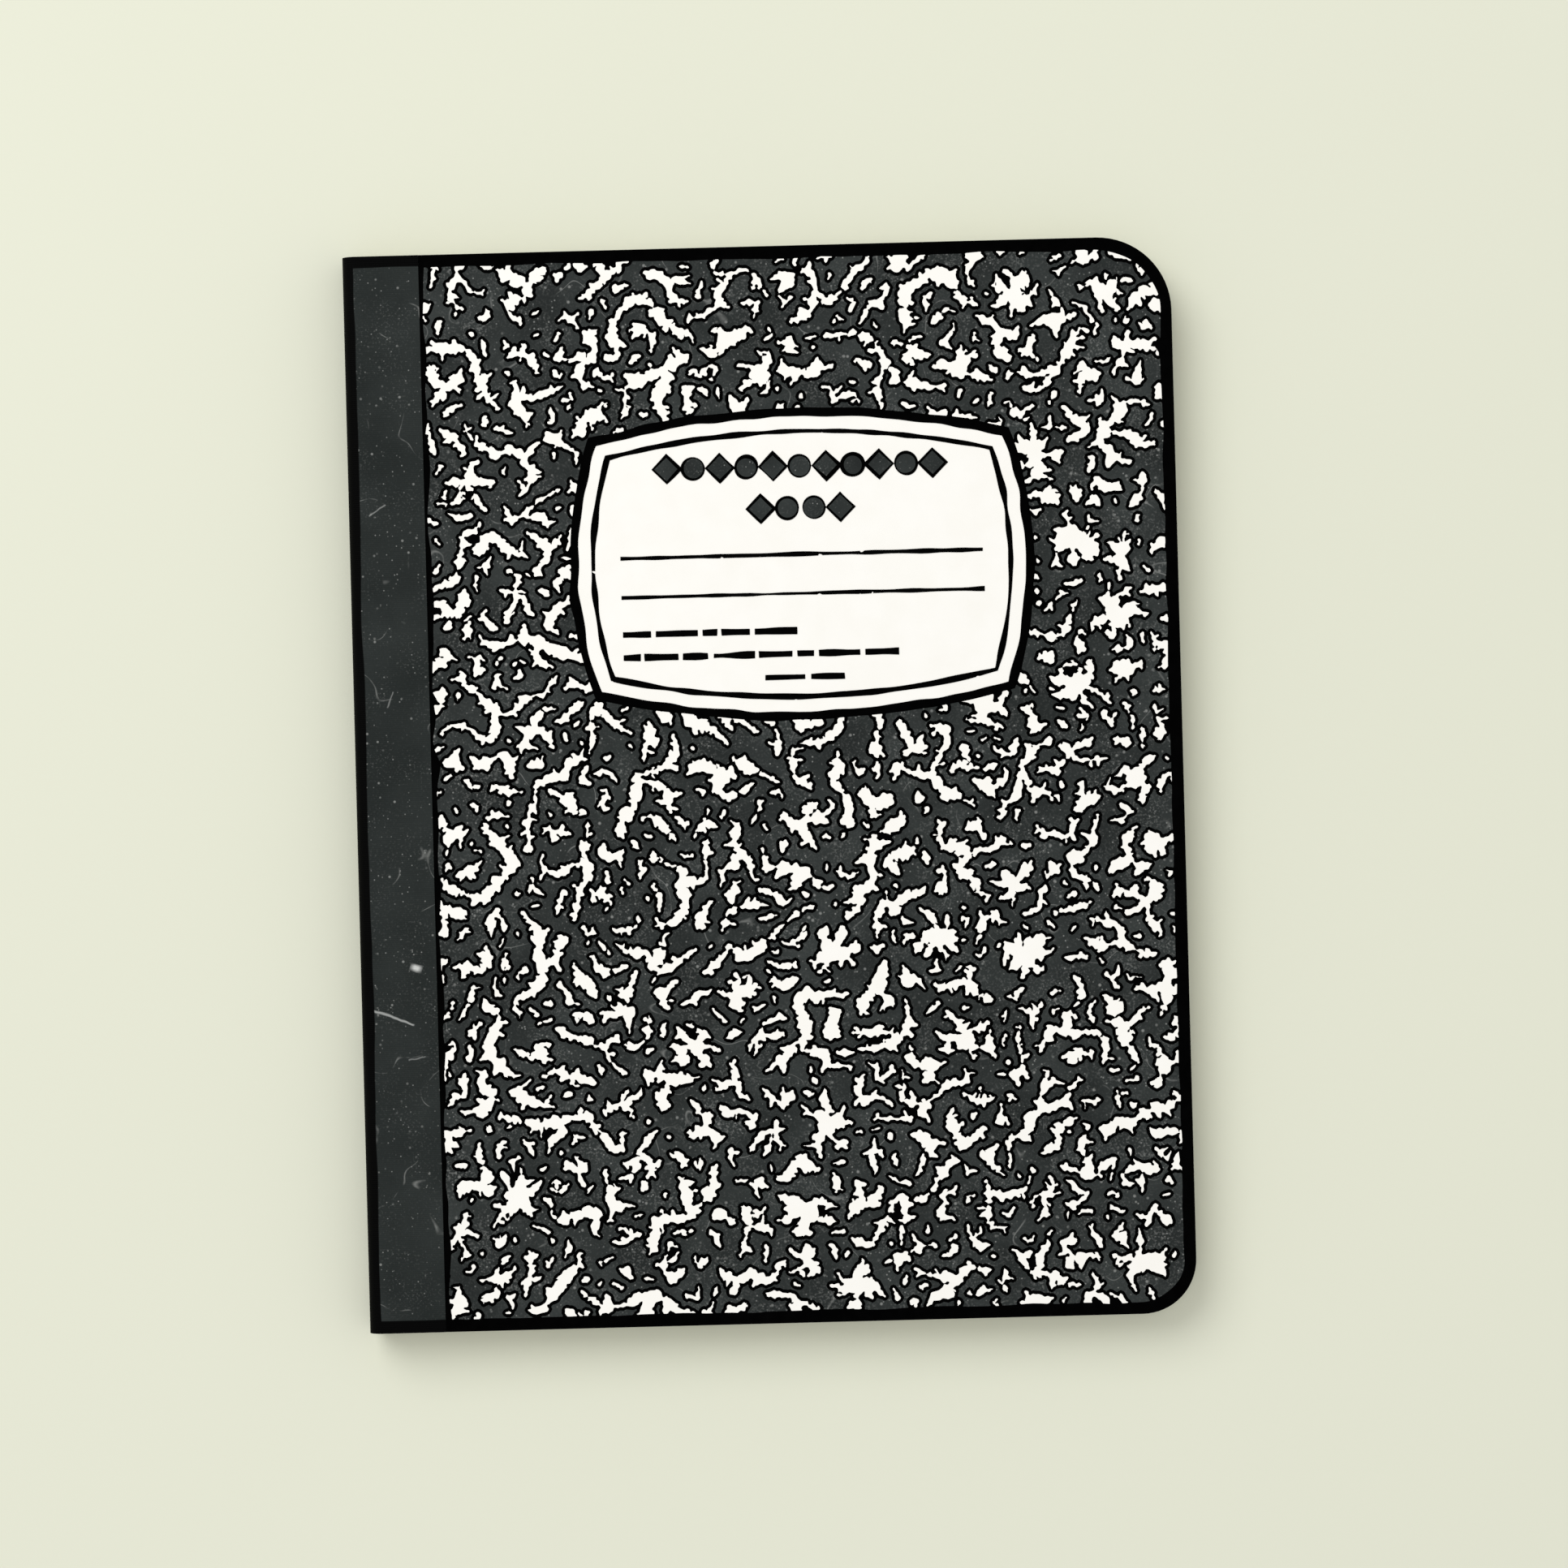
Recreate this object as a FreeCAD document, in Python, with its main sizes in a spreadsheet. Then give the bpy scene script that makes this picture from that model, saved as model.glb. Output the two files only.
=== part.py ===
"""A composition notebook, closed and lying on its back cover.

+X runs from the spine to the fore-edge, +Y from the tail to the head and +Z from the back cover to the
front one. The origin is under the middle of the closed book, on the surface that it lies on.
All lengths are in millimetres.
"""

import FreeCAD, Part
import math
import os
import random
import Sketcher

# Driving dimensions: name, value and what it measures
SIZES = (
    ("book_width", 190.0, "spine to fore-edge"),
    ("book_height", 247.0, "tail to head"),
    ("leaf_count", 100, "leaves in the block"),
    ("leaf_pitch", 0.084, "one leaf and the air beside it"),
    ("board_thickness", 0.8, "cover board"),
    ("ink_thickness", 0.1, "marbled print on a cover"),
    ("tape_thickness", 0.25, "cloth tape"),
    ("tape_width", 17.6, "tape seen on each cover, from the spine"),
    ("spine_radius", 3.0, "outer bend of the tape round the back"),
    ("head_corner", 17.0, "rounding of the fore-edge corner at the head"),
    ("tail_corner", 12.5, "rounding of the fore-edge corner at the tail"),
    ("thread_diameter", 0.6, "sewing thread along the fold"),
    ("tight_diameter", 0.5, "sewing thread where it is drawn tight through a needle hole"),
    ("thread_clearance", 0.05, "room round the thread in the paper"),
    ("stitch_length", 19.0, "from one needle hole to the next"),
    ("stitch_margin", 9.0, "least paper past the last stitch"),
    ("label_width", 95.5, "label, between its corners"),
    ("label_height", 59.0, "label, between its corners"),
    ("label_side_bulge", 5.0, "how far its left and right sides bow out"),
    ("label_end_bulge", 5.8, "how far its top and bottom bow out"),
    ("label_corner", 2.0, "rounding of its corners"),
    ("label_from_head", 73.0, "its middle, from the head of the book"),
    ("label_thickness", 0.1, "label paper"),
    ("print_thickness", 0.05, "print on the label"),
    ("border_width", 1.5, "black band along the label's edge"),
    ("rule_inset", 4.4, "inner rule, from the label's edge"),
    ("rule_width", 0.9, "inner rule"),
    ("line_margin", 6.3, "end of a writing line, from the label's corners"),
    ("line_width", 0.65, "writing line"),
    ("line_gap", 9.0, "from one writing line to the next"),
    ("line_drop", 2.3, "from the label's middle to between the writing lines"),
    ("title_margin", 14.2, "upper row of ornaments, from the label's corners"),
    ("title_drop", 7.1, "upper row of ornaments, below the label's upper corners"),
    ("title_gap", 9.6, "from the upper to the lower row of ornaments"),
    ("disc_diameter", 5.0, "round ornament"),
    ("ornament_gap", 0.45, "between two ornaments"),
    ("stroke_width", 1.3, "footer stroke"),
    ("stroke_gap", 1.2, "between two footer strokes"),
    ("footer_rise", 3.6, "lowest footer row, above the label's lower corners"),
    ("footer_gap", 5.3, "from one footer row to the next"),
    ("blotch_pitch", 22.0, "from one blotch of the marbling to the next"),
    ("blotch_reach", 9.6, "longest arm of a blotch, from its middle"),
    ("blotch_tip", 2.2, "width of an arm at its end"),
    ("blotch_margin", 1.2, "least print between a blotch and an edge"),
)

# Heights of the layers, from the surface that the book lies on
BLOCK_THICKNESS = "(Sizes.leaf_count * Sizes.leaf_pitch)"
BACK_BOARD_Z = "Sizes.tape_thickness"
BACK_INK_Z = f"{BACK_BOARD_Z} - Sizes.ink_thickness"
BLOCK_Z = f"{BACK_BOARD_Z} + Sizes.board_thickness"
FRONT_BOARD_Z = f"{BLOCK_Z} + {BLOCK_THICKNESS}"
FRONT_INK_Z = f"{FRONT_BOARD_Z} + Sizes.board_thickness"
LABEL_Z = f"{FRONT_INK_Z} + Sizes.ink_thickness"
PRINT_Z = f"{LABEL_Z} + Sizes.label_thickness"
BOOK_THICKNESS = f"{FRONT_INK_Z} + Sizes.tape_thickness"

# Places from the spine to the fore-edge, and from the tail to the head
SPINE_X = "-Sizes.book_width / 2"
FORE_EDGE_X = "Sizes.book_width / 2"
BLOCK_BACK_X = f"{SPINE_X} + Sizes.tape_thickness"
HINGE_X = f"{SPINE_X} + Sizes.spine_radius"
TAPE_EDGE_X = f"{SPINE_X} + Sizes.tape_width"
TAIL_Y = "-Sizes.book_height / 2"
HEAD_Y = "Sizes.book_height / 2"

# The bends of the tape and of the paper inside it have one centre line, and the boards lie between them
TAPE_BEND = "(Sizes.spine_radius - Sizes.tape_thickness)"
PAPER_BEND = f"({TAPE_BEND} - Sizes.board_thickness)"

# The sewing goes through the innermost fold, which is half the block's thickness from its back
FOLD_DEPTH = f"({BLOCK_THICKNESS} / 2)"
STITCH_COUNT = "floor((Sizes.book_height - 2 * Sizes.stitch_margin) / Sizes.stitch_length)"
SEAM_LENGTH = f"({STITCH_COUNT} * Sizes.stitch_length)"

# The label is in the middle of the cover that the tape leaves free
LABEL_X = f"({TAPE_EDGE_X} + {FORE_EDGE_X}) / 2"
LABEL_Y = f"{HEAD_Y} - Sizes.label_from_head"
LINE_LENGTH = "(Sizes.label_width - 2 * Sizes.line_margin)"
UPPER_ORNAMENTS = "lololololol"  # l is a lozenge and o a disc
LOWER_ORNAMENTS = "lool"
ORNAMENT_PITCH = f"((Sizes.label_width - 2 * Sizes.title_margin) / {len(UPPER_ORNAMENTS)})"
LOZENGE_REACH = f"({ORNAMENT_PITCH} - Sizes.disc_diameter / 2 - Sizes.ornament_gap)"
# Footer rows, the lowest first: where each starts and ends as shares of the writing line, and the
# lengths of its strokes against each other
FOOTER_ROWS = (
    (0.39, 0.61, (6, 5)),
    (0.0, 0.76, (2, 4, 3, 5, 4, 2, 5, 4)),
    (0.0, 0.48, (4, 6, 2, 4, 6)),
)

# How the blotches of the marbling differ
FRONT_SEED, BACK_SEED = 7, 23
STAR_ARMS = (2, 3, 4, 4, 5, 5)
ARM_SWING = 0.22  # of the angle between two arms
ARM_SHARE = (0.55, 1.0)  # of the reach
HUB_SHARE = (0.26, 0.42)  # of the reach
BLOTCH_SHIFT = 0.06  # of the pitch
BLOTCH_FITS = (1.0, 0.75, 0.5)  # of the reach, the largest that fits


def make_sheet(doc):
    sheet = doc.addObject("Spreadsheet::Sheet", "Sizes")
    for row, (name, value, note) in enumerate(SIZES, start=1):
        sheet.set(f"A{row}", name)
        sheet.set(f"B{row}", str(value))
        sheet.setAlias(f"B{row}", name)
        sheet.set(f"C{row}", note)
    doc.recompute()
    return sheet


def worked_out(doc, expression):
    """The number that an expression comes to."""
    return float(doc.Sizes.evalExpression(expression))


def bind(thing, **expressions):
    """Bind sizes of an object: x, y and z are its place, and the rest are its properties."""
    for name, expression in expressions.items():
        thing.setExpression(f"Placement.Base.{name}" if name in "xyz" else name, expression)


def origin_part(body, role):
    return next(part for part in body.Origin.OriginFeatures if part.Role == role)


# Sketches


def new_sketch(body, plane="XY_Plane"):
    sketch = body.newObject("Sketcher::SketchObject", f"{body.Name}_outline")
    sketch.AttachmentSupport = [(origin_part(body, plane), "")]
    sketch.MapMode = "FlatFace"
    return sketch


def constrain(sketch, kind, *where, to):
    """Add a measured constraint and bind it to an expression."""
    value = worked_out(sketch.Document, to)
    index = sketch.addConstraint(Sketcher.Constraint(kind, *where, value))
    sketch.setExpression(f"Constraints[{index}]", to)


def arc_between(start, end, radius):
    """The shorter arc from start anticlockwise to end."""
    half = (end - start) / 2
    inward = FreeCAD.Vector(-half.y, half.x).normalize()
    centre = start + half + inward * math.sqrt(radius**2 - half.Length**2)
    angles = [math.atan2(point.y - centre.y, point.x - centre.x) for point in (start, end)]
    return Part.ArcOfCircle(Part.Circle(centre, FreeCAD.Vector(0, 0, 1), radius), *angles)


def draw_outline(sketch, corners):
    """Draw a closed outline through corners, each pinned to its place.

    A corner is (x, y), or (x, y, turn, radius) where an arc leads from it to the next one, to the left
    where turn is 1 and to the right where it is -1.
    """
    doc = sketch.Document
    points = [FreeCAD.Vector(worked_out(doc, corner[0]), worked_out(doc, corner[1])) for corner in corners]
    ends = []  # of each side: its start and its end, as the sketch numbers them
    for corner, start, end in zip(corners, points, points[1:] + points[:1]):
        if len(corner) == 2:
            sketch.addGeometry(Part.LineSegment(start, end))
            ends.append((1, 2))
        elif corner[2] > 0:
            sketch.addGeometry(arc_between(start, end, worked_out(doc, corner[3])))
            ends.append((1, 2))
        else:
            sketch.addGeometry(arc_between(end, start, worked_out(doc, corner[3])))
            ends.append((2, 1))
    for side, corner in enumerate(corners):
        after = (side + 1) % len(corners)
        sketch.addConstraint(Sketcher.Constraint("Coincident", side, ends[side][1], after, ends[after][0]))
        constrain(sketch, "DistanceX", -1, 1, side, ends[side][0], to=corner[0])
        constrain(sketch, "DistanceY", -1, 1, side, ends[side][0], to=corner[1])
        if len(corner) > 2:
            constrain(sketch, "Radius", side, to=corner[3])


def draw_barrel(sketch, inset):
    """Draw the label's outline, moved in by inset: four arcs that bow out, about the sketch's origin."""
    doc = sketch.Document
    first = sketch.GeometryCount
    sides = (  # heading, half the chord, middle of the chord and bow
        (0, "Sizes.label_height / 2", "Sizes.label_width / 2", "Sizes.label_side_bulge"),
        (90, "Sizes.label_width / 2", "Sizes.label_height / 2", "Sizes.label_end_bulge"),
        (180, "Sizes.label_height / 2", "Sizes.label_width / 2", "Sizes.label_side_bulge"),
        (270, "Sizes.label_width / 2", "Sizes.label_height / 2", "Sizes.label_end_bulge"),
    )
    centres = []
    for heading, half_chord, middle, bow in sides:
        full_radius = f"((({half_chord})^2 + {bow}^2) / (2 * {bow}))"
        radius = f"{full_radius} - {inset}"
        back = f"({full_radius} - {middle} - {bow})"  # from the sketch's origin to the arc's centre
        outward = FreeCAD.Vector(math.cos(math.radians(heading)), math.sin(math.radians(heading)))
        centre = outward * -worked_out(doc, back)
        spread = math.asin(worked_out(doc, half_chord) / worked_out(doc, full_radius))
        circle = Part.Circle(centre, FreeCAD.Vector(0, 0, 1), worked_out(doc, radius))
        middle_angle = math.radians(heading)
        sketch.addGeometry(Part.ArcOfCircle(circle, middle_angle - spread, middle_angle + spread))
        centres.append((f"{-round(outward.x)} * {back}", f"{-round(outward.y)} * {back}", radius))
    for side, (x, y, radius) in enumerate(centres):
        constrain(sketch, "DistanceX", -1, 1, first + side, 3, to=x)
        constrain(sketch, "DistanceY", -1, 1, first + side, 3, to=y)
        constrain(sketch, "Radius", first + side, to=radius)
        after = first + (side + 1) % len(sides)
        sketch.addConstraint(Sketcher.Constraint("Coincident", first + side, 2, after, 1))


def pad(body, sketch, thickness):
    """Thicken a sketch into a solid, away from its plane."""
    feature = body.newObject("PartDesign::Pad", f"{body.Name}_pad")
    feature.Profile = sketch
    bind(feature, Length=thickness)
    body.Document.recompute()
    return feature


# Pages and sewing


def leaf_outline(spine_side):
    """The outline that leaves, boards and prints share: two square corners and two rounded ones."""
    return (
        (spine_side, TAIL_Y),
        (f"{FORE_EDGE_X} - Sizes.tail_corner", TAIL_Y, 1, "Sizes.tail_corner"),
        (FORE_EDGE_X, f"{TAIL_Y} + Sizes.tail_corner"),
        (FORE_EDGE_X, f"{HEAD_Y} - Sizes.head_corner", 1, "Sizes.head_corner"),
        (f"{FORE_EDGE_X} - Sizes.head_corner", HEAD_Y),
        (spine_side, HEAD_Y),
    )


def make_leaf(doc, name, spine_side, thickness, z):
    body = doc.addObject("PartDesign::Body", name)
    sketch = new_sketch(body)
    draw_outline(sketch, leaf_outline(spine_side))
    pad(body, sketch, thickness)
    bind(body, z=z)
    return body


def add_seam(body, kind, room):
    """Add the thread's form to a body, or take it out: a run behind the fold, a run inside it, and the
    short lengths that join them at the needle holes."""
    radius = f"(Sizes.thread_diameter / 2 + {room})"
    tight_radius = f"(Sizes.tight_diameter / 2 + {room})"
    back_run_x = f"{BLOCK_BACK_X} + Sizes.thread_diameter / 2"
    along = FreeCAD.Rotation(FreeCAD.Vector(1, 0, 0), -90)
    for name, x in (("back_run", back_run_x), ("inner_run", f"{BLOCK_BACK_X} + {FOLD_DEPTH}")):
        run = body.newObject(f"PartDesign::{kind}Cylinder", f"{body.Name}_{name}")
        run.Placement.Rotation = along
        bind(run, Radius=radius, Height=f"{SEAM_LENGTH} + 2 * {radius}")
        bind(run, x=x, y=f"-{SEAM_LENGTH} / 2 - {radius}", z=f"{BLOCK_THICKNESS} / 2")
    stitch = body.newObject(f"PartDesign::{kind}Cylinder", f"{body.Name}_stitch")
    stitch.Placement.Rotation = FreeCAD.Rotation(FreeCAD.Vector(0, 1, 0), 90)
    bind(stitch, Radius=tight_radius, Height=f"{FOLD_DEPTH} - Sizes.thread_diameter / 2")
    bind(stitch, x=back_run_x, y=f"-{SEAM_LENGTH} / 2", z=f"{BLOCK_THICKNESS} / 2")
    body.Document.recompute()
    row = body.newObject("PartDesign::LinearPattern", f"{body.Name}_stitches")
    row.Originals = [stitch]
    row.Direction = (origin_part(body, "Y_Axis"), [""])
    row.Mode = "Spacing"
    bind(row, Offset="Sizes.stitch_length", Occurrences=f"{STITCH_COUNT} + 1")
    body.Tip = row
    body.Document.recompute()


def make_page_block(doc):
    block = make_leaf(doc, "page_block", BLOCK_BACK_X, BLOCK_THICKNESS, BLOCK_Z)
    square = block.Tip
    back_x = worked_out(doc, BLOCK_BACK_X)
    back_edges = [
        f"Edge{number}"
        for number, edge in enumerate(square.Shape.Edges, start=1)
        if all(abs(end.X - back_x) < 1e-6 for end in edge.Vertexes)
        and edge.Length > worked_out(doc, BLOCK_THICKNESS) + 1e-6
    ]
    fold = block.newObject("PartDesign::Fillet", "page_block_fold")
    fold.Base = (square, back_edges)
    bind(fold, Radius=PAPER_BEND)
    doc.recompute()
    add_seam(block, "Subtractive", "Sizes.thread_clearance")
    return block


def make_sewing_thread(doc):
    thread = doc.addObject("PartDesign::Body", "sewing_thread")
    add_seam(thread, "Additive", "0")
    bind(thread, z=BLOCK_Z)
    return thread


# Covers


def make_spine_tape(doc):
    """A strip folded round the back of the book, with a flange on each cover."""
    tape = doc.addObject("PartDesign::Body", "spine_tape")
    section = new_sketch(tape, "XZ_Plane")
    inner_x = f"{SPINE_X} + Sizes.tape_thickness"
    draw_outline(
        section,
        (
            (TAPE_EDGE_X, BOOK_THICKNESS),
            (HINGE_X, BOOK_THICKNESS, 1, "Sizes.spine_radius"),
            (SPINE_X, f"{BOOK_THICKNESS} - Sizes.spine_radius"),
            (SPINE_X, "Sizes.spine_radius", 1, "Sizes.spine_radius"),
            (HINGE_X, "0"),
            (TAPE_EDGE_X, "0"),
            (TAPE_EDGE_X, "Sizes.tape_thickness"),
            (HINGE_X, "Sizes.tape_thickness", -1, TAPE_BEND),
            (inner_x, "Sizes.spine_radius"),
            (inner_x, f"{BOOK_THICKNESS} - Sizes.spine_radius", -1, TAPE_BEND),
            (HINGE_X, f"{BOOK_THICKNESS} - Sizes.tape_thickness"),
            (TAPE_EDGE_X, f"{BOOK_THICKNESS} - Sizes.tape_thickness"),
        ),
    )
    strip = pad(tape, section, "Sizes.book_height")
    strip.SideType = "Symmetric"
    return tape


def draw_blotch(chance):
    """Choose a star's corners as (angle, share of the reach, side of the arm's tip or 0 for the hub)."""
    arms = chance.choice(STAR_ARMS)
    turn = chance.uniform(0, math.tau)
    corners = []
    for arm in range(arms):
        heading = turn + (arm + chance.uniform(-ARM_SWING, ARM_SWING)) * math.tau / arms
        share = chance.uniform(*ARM_SHARE)
        corners += [(heading, share, -1), (heading, share, 1)]
        corners.append((turn + (arm + 0.5) * math.tau / arms, chance.uniform(*HUB_SHARE), 0))
    return corners


def blotch_outline(corners, middle, reach, tip):
    points = []
    for angle, share, side in corners:
        outward = FreeCAD.Vector(math.cos(angle), math.sin(angle))
        across = FreeCAD.Vector(-outward.y, outward.x)
        points.append(middle + outward * share * reach + across * side * tip / 2)
    return Part.makePolygon(points + points[:1])


def blotch_middles(outline, pitch, chance):
    """Yield places in staggered rows over an outline, each shifted a little."""
    box = outline.BoundBox
    row_gap = pitch * math.sin(math.pi / 3)
    rows = int(box.YLength / row_gap) + 1
    columns = int(box.XLength / pitch) + 2
    for row in range(rows):
        for column in range(columns):
            x = box.Center.x + (column - (columns - 1) / 2 + 0.25 * (-1) ** row) * pitch
            y = box.Center.y + (row - (rows - 1) / 2) * row_gap
            shift = FreeCAD.Vector(chance.uniform(-1, 1), chance.uniform(-1, 1)) * BLOTCH_SHIFT * pitch
            yield FreeCAD.Vector(x, y) + shift


def marbled_face(outline, sheet, seed):
    """The face of a marbled print: what its outline holds, less the blotches."""
    chance = random.Random(seed)
    area = Part.Face(outline)
    gaps = []
    for middle in blotch_middles(outline, sheet.blotch_pitch, chance):
        corners = draw_blotch(chance)
        for fit in BLOTCH_FITS:
            gap = blotch_outline(corners, middle, fit * sheet.blotch_reach, sheet.blotch_tip)
            inside = area.isInside(middle, 1e-6, True)
            if inside and gap.distToShape(outline)[0] >= sheet.blotch_margin:
                gaps.append(gap)
                break
    return Part.makeFace([outline, *gaps], "Part::FaceMakerBullseye")


def make_ink(doc, name, z, seed):
    outline = doc.addObject("Sketcher::SketchObject", f"{name}_outline")
    draw_outline(outline, leaf_outline(TAPE_EDGE_X))
    doc.recompute()
    face = doc.addObject("Part::Feature", f"{name}_face")
    face.Shape = marbled_face(outline.Shape.Wires[0], doc.Sizes, seed)
    bind(face, z=z)
    ink = doc.addObject("Part::Extrusion", name)
    ink.Base = face
    ink.DirMode = "Normal"
    ink.Solid = True
    bind(ink, LengthFwd="Sizes.ink_thickness")
    return ink


# Label


def round_corners(body, feature):
    """Round the four upright edges that stand furthest out."""
    upright = [
        (math.hypot(edge.CenterOfMass.x, edge.CenterOfMass.y), f"Edge{number}")
        for number, edge in enumerate(feature.Shape.Edges, start=1)
        if edge.BoundBox.XLength + edge.BoundBox.YLength < 1e-6
    ]
    rounding = body.newObject("PartDesign::Fillet", f"{body.Name}_corners")
    rounding.Base = (feature, [name for reach, name in sorted(upright)[-4:]])
    bind(rounding, Radius="Sizes.label_corner")


def make_label(doc):
    label = doc.addObject("PartDesign::Body", "label")
    outline = new_sketch(label)
    draw_barrel(outline, "0")
    paper = pad(label, outline, "Sizes.label_thickness")
    round_corners(label, paper)
    bind(label, x=LABEL_X, y=LABEL_Y, z=LABEL_Z)
    return label


def make_borders(doc):
    """The band along the label's edge and the thin rule inside it."""
    borders = doc.addObject("PartDesign::Body", "label_borders")
    outlines = new_sketch(borders)
    for inset in ("0", "Sizes.border_width", "Sizes.rule_inset", "(Sizes.rule_inset + Sizes.rule_width)"):
        draw_barrel(outlines, inset)
    rings = pad(borders, outlines, "Sizes.print_thickness")
    round_corners(borders, rings)
    bind(borders, x=LABEL_X, y=LABEL_Y, z=PRINT_Z)
    return borders


def make_bar(doc, name, start, length, y, width):
    """A printed bar: start is its left end from the label's middle, and y its own middle."""
    bar = doc.addObject("Part::Box", name)
    bind(bar, Length=length, Width=width, Height="Sizes.print_thickness")
    bind(bar, x=f"{LABEL_X} + {start}", y=f"{LABEL_Y} + {y} - {width} / 2", z=PRINT_Z)
    return bar


def make_writing_lines(doc):
    return [
        make_bar(
            doc,
            f"writing_line_{number}",
            f"-{LINE_LENGTH} / 2",
            LINE_LENGTH,
            f"({side} * Sizes.line_gap / 2 - Sizes.line_drop)",
            "Sizes.line_width",
        )
        for number, side in enumerate((1, -1), start=1)
    ]


def make_footer(doc):
    """Rows of short strokes in the place of small print."""
    bars = []
    for row, (begins, ends, lengths) in enumerate(FOOTER_ROWS):
        y = f"(Sizes.footer_rise + {row} * Sizes.footer_gap - Sizes.label_height / 2)"
        filled = f"({ends - begins:.2f} * {LINE_LENGTH} - {len(lengths) - 1} * Sizes.stroke_gap)"
        for place, length in enumerate(lengths):
            share = length / sum(lengths)
            before = sum(lengths[:place]) / sum(lengths)
            start = f"(({begins} - 0.5) * {LINE_LENGTH} + {before} * {filled} + {place} * Sizes.stroke_gap)"
            name = f"footer_{row + 1}_{place + 1}"
            bars.append(make_bar(doc, name, start, f"{share} * {filled}", y, "Sizes.stroke_width"))
    return bars


def make_label_print(doc):
    label_print = doc.addObject("Part::Compound", "label_print")
    label_print.Links = [make_borders(doc), *make_writing_lines(doc), *make_footer(doc)]
    return label_print


def make_disc(doc, name, x, y):
    disc = doc.addObject("Part::Cylinder", name)
    bind(disc, Radius="Sizes.disc_diameter / 2", Height="Sizes.print_thickness", x=x, y=y, z=PRINT_Z)
    return disc


def make_lozenge(doc, name, x, y):
    lozenge = doc.addObject("Part::Box", name)
    side = f"{LOZENGE_REACH} * sqrt(2)"
    bind(lozenge, Length=side, Width=side, Height="Sizes.print_thickness")
    lozenge.Placement.Rotation = FreeCAD.Rotation(FreeCAD.Vector(0, 0, 1), 45)
    bind(lozenge, x=x, y=f"{y} - {LOZENGE_REACH}", z=PRINT_Z)
    return lozenge


def make_ornament(doc):
    """Two rows of discs and lozenges."""
    shapes = []
    for row, kinds in enumerate((UPPER_ORNAMENTS, LOWER_ORNAMENTS)):
        y = f"{LABEL_Y} + Sizes.label_height / 2 - Sizes.title_drop - {row} * Sizes.title_gap"
        for place, kind in enumerate(kinds):
            x = f"{LABEL_X} + {place - (len(kinds) - 1) / 2} * {ORNAMENT_PITCH}"
            make_shape = make_lozenge if kind == "l" else make_disc
            shapes.append(make_shape(doc, f"ornament_{row + 1}_{place + 1}", x, y))
    ornament = doc.addObject("Part::Compound", "label_ornament")
    ornament.Links = shapes
    return ornament


def make_book(doc):
    return [
        make_page_block(doc),
        make_sewing_thread(doc),
        make_spine_tape(doc),
        make_leaf(doc, "back_cover", HINGE_X, "Sizes.board_thickness", BACK_BOARD_Z),
        make_leaf(doc, "front_cover", HINGE_X, "Sizes.board_thickness", FRONT_BOARD_Z),
        make_ink(doc, "back_ink", BACK_INK_Z, BACK_SEED),
        make_ink(doc, "front_ink", FRONT_INK_Z, FRONT_SEED),
        make_label(doc),
        make_label_print(doc),
        make_ornament(doc),
    ]


def check_and_write(doc, sub_parts):
    failed = [thing.Label for thing in doc.Objects if {"Invalid", "Error"} & set(thing.State)]
    failed += [part.Label for part in sub_parts if part.Shape.isNull() or not part.Shape.isValid()]
    if failed:
        raise SystemExit(f"These didn't build: {', '.join(failed)}")
    os.makedirs("parts", exist_ok=True)
    for part in sub_parts:
        part.Shape.exportStep(f"parts/{part.Label}.step")
        print(f"{part.Label}: {len(part.Shape.Solids)} solids, {part.Shape.Volume:.1f} mm3")


document = FreeCAD.newDocument("CompositionNotebook")
make_sheet(document)
book = make_book(document)
document.recompute()
check_and_write(document, book)
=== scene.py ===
"""The looks of a composition notebook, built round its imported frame.

Metres, in the frame's own place: +X runs from the spine to the fore-edge, +Y from the tail to the head and
+Z from the back cover to the front one. The marbling is drawn in millimetres, by growing branching shapes
from the gaps in the two printed sheets, with smaller ones between them. Each printed colour is a sheet.
"""

import math

import bpy
import numpy as np
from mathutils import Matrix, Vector
from mathutils.geometry import tessellate_polygon


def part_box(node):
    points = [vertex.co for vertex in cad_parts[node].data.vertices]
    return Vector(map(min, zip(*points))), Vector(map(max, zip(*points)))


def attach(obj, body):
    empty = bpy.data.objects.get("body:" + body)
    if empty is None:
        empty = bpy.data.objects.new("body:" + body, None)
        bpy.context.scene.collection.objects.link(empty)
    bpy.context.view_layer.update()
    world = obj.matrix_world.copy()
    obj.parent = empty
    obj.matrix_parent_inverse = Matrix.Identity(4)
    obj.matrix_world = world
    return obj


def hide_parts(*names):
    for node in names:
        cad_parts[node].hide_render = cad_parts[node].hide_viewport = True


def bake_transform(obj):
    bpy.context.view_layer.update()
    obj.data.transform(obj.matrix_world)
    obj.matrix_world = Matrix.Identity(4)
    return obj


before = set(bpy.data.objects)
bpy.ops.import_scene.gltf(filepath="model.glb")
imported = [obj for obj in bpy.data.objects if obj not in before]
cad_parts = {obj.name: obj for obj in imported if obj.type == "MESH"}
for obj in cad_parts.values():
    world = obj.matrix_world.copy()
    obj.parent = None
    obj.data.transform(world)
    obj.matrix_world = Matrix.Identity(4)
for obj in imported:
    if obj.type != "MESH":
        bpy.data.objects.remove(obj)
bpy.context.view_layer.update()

MM = 0.001

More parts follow.
